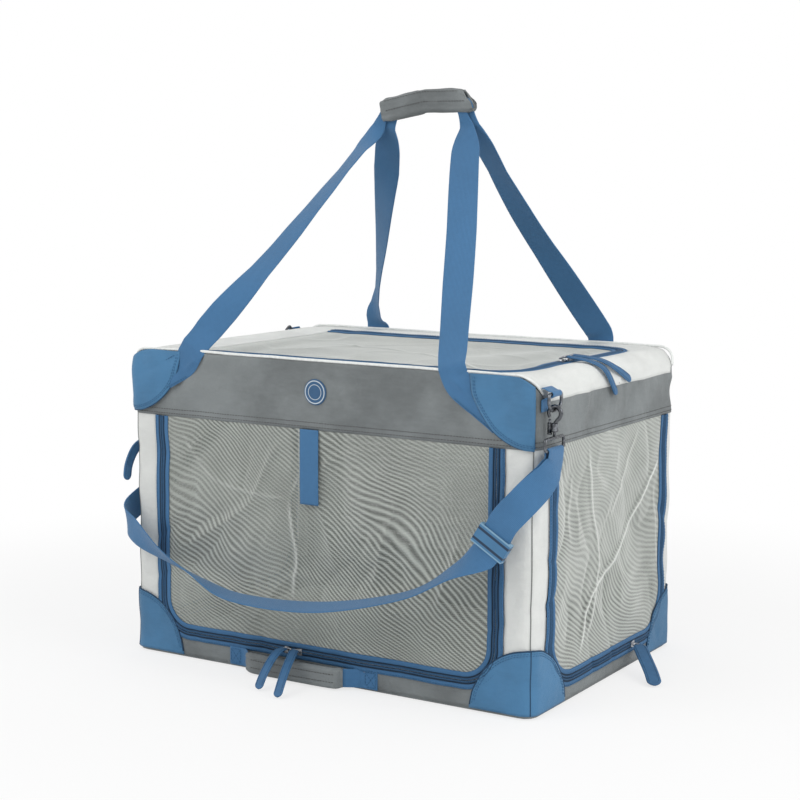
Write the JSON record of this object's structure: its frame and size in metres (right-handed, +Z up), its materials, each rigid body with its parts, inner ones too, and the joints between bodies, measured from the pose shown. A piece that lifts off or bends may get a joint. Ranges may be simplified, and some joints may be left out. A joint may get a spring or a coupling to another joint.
{
  "type": "pet carrier",
  "caption": "Soft-sided box-shaped pet carrier with zipped mesh doors, a folding tube frame inside, carrying handles with a padded grip and a clip-on shoulder strap.",
  "frame": {"origin": "middle of the floor's underside, on the surface that the carrier stands on", "axes": "+X to the right along the long front, +Y to the back, +Z up; the front with the badge faces -Y"},
  "size_m": [0.6977, 0.5068, 0.7593],
  "materials": {
    "charcoal_polyester": "woven polyester, dull",
    "pale_polyester": "woven polyester, dull",
    "net": "knitted polyester mesh",
    "guard_cloth": "coated woven cloth",
    "blue_webbing": "ribbed polypropylene webbing",
    "zip_tape": "woven tape with nylon coil",
    "steel": "nickel-plated steel",
    "leg_steel": "powder-coated steel tube",
    "fleece": "fleece",
    "board": "hollow plastic board",
    "blue_plastic": "moulded",
    "badge": "plain moulded disc",
    "pull_tab": "soft moulded tab"
  },
  "bodies": {
    "base": {"base_cover": "charcoal_polyester", "base_frame": "leg_steel", "floor_board": "board", "fleece_mat": "fleece", "corner_pillar_left": "pale_polyester", "corner_pillar_right": "pale_polyester", "back_wall": "pale_polyester", "front_zip_track": "zip_tape", "right_zip_track": "zip_tape", "left_zip_track": "zip_tape", "base_patch_front_left": "guard_cloth", "base_patch_front_right": "guard_cloth", "base_patch_back_left": "guard_cloth", "base_patch_back_right": "guard_cloth"},
    "grab_handle": {"grab_webbing": "blue_webbing", "grab_sleeve": "charcoal_polyester"},
    "lower_leg_left": {"lower_leg_left": "leg_steel"},
    "upper_leg_left": {"upper_leg_left": "leg_steel"},
    "lower_leg_right": {"lower_leg_right": "leg_steel"},
    "upper_leg_right": {"upper_leg_right": "leg_steel"},
    "top": {"top_frame": "leg_steel", "top_band": "charcoal_polyester", "top_panel": "pale_polyester", "top_patch_left": "guard_cloth", "top_patch_right": "guard_cloth", "top_zip_track": "zip_tape", "badge": "badge", "d_ring_loop_front": "blue_webbing", "d_ring_loop_rear": "blue_webbing", "shoulder_strap": "blue_webbing"},
    "tie_strap": {"tie_strap": "blue_webbing"},
    "strap_adjuster": {"strap_adjuster": "blue_plastic"},
    "front_handle": {"front_handle": "blue_webbing"},
    "rear_handle": {"rear_handle": "blue_webbing", "grip_wrap": "charcoal_polyester"},
    "grip_flap": {"grip_flap": "charcoal_polyester"},
    "front_door": {"front_door": "net"},
    "right_door": {"right_door": "net"},
    "left_door": {"left_door": "net"},
    "top_door": {"top_door": "net"},
    "link_front": {"d_ring_front": "steel", "swivel_eye_front": "steel"},
    "hook_front": {"snap_hook_front": "steel"},
    "bolt_front": {"hook_bolt_front": "steel"},
    "link_rear": {"d_ring_rear": "steel", "swivel_eye_rear": "steel"},
    "hook_rear": {"snap_hook_rear": "steel"},
    "bolt_rear": {"hook_bolt_rear": "steel"},
    "slider_front_left": {"slider_front_left": "steel"},
    "pull_front_left": {"pull_front_left": "pull_tab"},
    "slider_front_right": {"slider_front_right": "steel"},
    "pull_front_right": {"pull_front_right": "pull_tab"},
    "slider_right": {"slider_right": "steel"},
    "pull_right": {"pull_right": "pull_tab"},
    "slider_left": {"slider_left": "steel"},
    "pull_left": {"pull_left": "pull_tab"},
    "slider_top_front": {"slider_top_front": "steel"},
    "pull_top_front": {"pull_top_front": "pull_tab"},
    "slider_top_back": {"slider_top_back": "steel"},
    "pull_top_back": {"pull_top_back": "pull_tab"}
  },
  "joints": [
    {"name": "fold", "type": "hinge", "parent": "base", "child": "lower_leg_left", "pos_m": [-0.2857, 0, 0.02], "axis": [0, 1, 0], "range_deg": [0, 70], "deforming": ["corner_pillar_left", "corner_pillar_right", "back_wall", "front_zip_track", "right_zip_track", "left_zip_track", "front_door", "right_door", "left_door", "top_door", "tie_strap", "shoulder_strap", "front_handle", "rear_handle", "grab_webbing"]},
    {"name": "knuckle_left", "type": "hinge", "parent": "lower_leg_left", "child": "upper_leg_left", "pos_m": [-0.2857, 0, 0.20315], "axis": [0, 1, 0], "range_deg": [-140, 0]},
    {"name": "top_pivot_left", "type": "hinge", "parent": "upper_leg_left", "child": "top", "pos_m": [-0.2857, 0, 0.3863], "axis": [0, 1, 0], "range_deg": [0, 70]},
    {"name": "base_pivot_right", "type": "hinge", "parent": "base", "child": "lower_leg_right", "pos_m": [0.2857, 0, 0.02], "axis": [0, 1, 0], "range_deg": [-70, 0]},
    {"name": "knuckle_right", "type": "hinge", "parent": "lower_leg_right", "child": "upper_leg_right", "pos_m": [0.2857, 0, 0.20315], "axis": [0, 1, 0], "range_deg": [0, 140]},
    {"name": "front_door_roll", "type": "hinge", "parent": "top", "child": "front_door", "pos_m": [0, -0.2082, 0.325], "axis": [-1, 0, 0], "range_deg": [0, 150]},
    {"name": "right_door_roll", "type": "hinge", "parent": "top", "child": "right_door", "pos_m": [0.3032, 0, 0.325], "axis": [0, -1, 0], "range_deg": [0, 150]},
    {"name": "left_door_roll", "type": "hinge", "parent": "top", "child": "left_door", "pos_m": [-0.3032, 0, 0.325], "axis": [0, 1, 0], "range_deg": [0, 150]},
    {"name": "top_door_lift", "type": "hinge", "parent": "top", "child": "top_door", "pos_m": [-0.225, 0, 0.412], "axis": [0, -1, 0], "range_deg": [0, 170]},
    {"name": "tie_strap_swing", "type": "hinge", "parent": "top", "child": "tie_strap", "pos_m": [-0.015, -0.2082, 0.325], "axis": [-1, 0, 0], "range_deg": [0, 150]},
    {"name": "front_handle_swing", "type": "hinge", "parent": "top", "child": "front_handle", "pos_m": [0, -0.20925, 0.399], "axis": [1, 0, 0], "range_deg": [0, 185]},
    {"name": "rear_handle_swing", "type": "hinge", "parent": "top", "child": "rear_handle", "pos_m": [0, 0.20925, 0.399], "axis": [-1, 0, 0], "range_deg": [0, 185]},
    {"name": "grip_flap_open", "type": "hinge", "parent": "rear_handle", "child": "grip_flap", "pos_m": [0, -0.0046, 0.7599], "axis": [-1, 0, 0], "range_deg": [0, 110]},
    {"name": "grab_handle_lift", "type": "hinge", "parent": "base", "child": "grab_handle", "pos_m": [0, -0.20925, 0.0155], "axis": [-1, 0, 0], "range_deg": [0, 20]},
    {"name": "strap_adjust", "type": "slide", "parent": "top", "child": "strap_adjuster", "axis": [0.5199, 0.03, 0.8537], "range_m": [0, 0.06]},
    {"name": "ring_swing_front", "type": "hinge", "parent": "top", "child": "link_front", "pos_m": [0.3165, -0.187, 0.392], "axis": [0, -1, 0], "range_deg": [0, 45]},
    {"name": "hook_swivel_front", "type": "hinge", "parent": "link_front", "child": "hook_front", "pos_m": [0.3165, -0.187, 0.392], "axis": [0, 0, 1], "range_deg": [-30, 30]},
    {"name": "bolt_slide_front", "type": "slide", "parent": "hook_front", "child": "bolt_front", "axis": [0, 0, -1], "range_m": [0, 0.006], "stiffness_N_per_m": 100},
    {"name": "ring_swing_rear", "type": "hinge", "parent": "top", "child": "link_rear", "pos_m": [-0.3165, 0.187, 0.398], "axis": [0, 0.5, -0.866], "range_deg": [0, 45]},
    {"name": "hook_swivel_rear", "type": "hinge", "parent": "link_rear", "child": "hook_rear", "pos_m": [-0.3165, 0.187, 0.398], "axis": [0, 0.866, 0.5], "range_deg": [-30, 30]},
    {"name": "bolt_slide_rear", "type": "slide", "parent": "hook_rear", "child": "bolt_rear", "axis": [0, -0.866, -0.5], "range_m": [0, 0.006], "stiffness_N_per_m": 100},
    {"name": "zip_front_left", "type": "slide", "parent": "base", "child": "slider_front_left", "axis": [-1, 0, 0], "range_m": [0, 0.15]},
    {"name": "zip_front_right", "type": "slide", "parent": "base", "child": "slider_front_right", "axis": [1, 0, 0], "range_m": [0, 0.22]},
    {"name": "zip_right", "type": "slide", "parent": "base", "child": "slider_right", "axis": [0, -1, 0], "range_m": [0, 0.165]},
    {"name": "zip_left", "type": "slide", "parent": "base", "child": "slider_left", "axis": [0, 0, -1], "range_m": [0, 0.19]},
    {"name": "zip_top_front", "type": "slide", "parent": "top", "child": "slider_top_front", "axis": [0, -1, 0], "range_m": [0, 0.08]},
    {"name": "zip_top_back", "type": "slide", "parent": "top", "child": "slider_top_back", "axis": [0, 1, 0], "range_m": [0, 0.13]},
    {"name": "pull_swing_front_left", "type": "hinge", "parent": "slider_front_left", "child": "pull_front_left", "pos_m": [-0.0475, -0.2147, 0.036], "axis": [-1, 0, 0], "range_deg": [0, 45]},
    {"name": "pull_swing_front_right", "type": "hinge", "parent": "slider_front_right", "child": "pull_front_right", "pos_m": [-0.0315, -0.2147, 0.036], "axis": [-1, 0, 0], "range_deg": [0, 45]},
    {"name": "pull_swing_right", "type": "hinge", "parent": "slider_right", "child": "pull_right", "pos_m": [0.3097, 0.076, 0.03], "axis": [0, -1, 0], "range_deg": [0, 80]},
    {"name": "pull_swing_left", "type": "hinge", "parent": "slider_left", "child": "pull_left", "pos_m": [-0.3097, -0.16, 0.285], "axis": [0, 1, 0], "range_deg": [0, 120]},
    {"name": "pull_swing_top_front", "type": "hinge", "parent": "slider_top_front", "child": "pull_top_front", "pos_m": [0.258, -0.052, 0.4185], "axis": [0, -1, 0], "range_deg": [0, 150]},
    {"name": "pull_swing_top_back", "type": "hinge", "parent": "slider_top_back", "child": "pull_top_back", "pos_m": [0.258, -0.036, 0.4185], "axis": [0, -1, 0], "range_deg": [0, 150]}
  ],
  "couplings": [
    {"joint": "knuckle_left", "follows": "fold", "ratio": -2},
    {"joint": "top_pivot_left", "follows": "fold", "ratio": 1},
    {"joint": "base_pivot_right", "follows": "fold", "ratio": -1},
    {"joint": "knuckle_right", "follows": "fold", "ratio": 2}
  ]
}
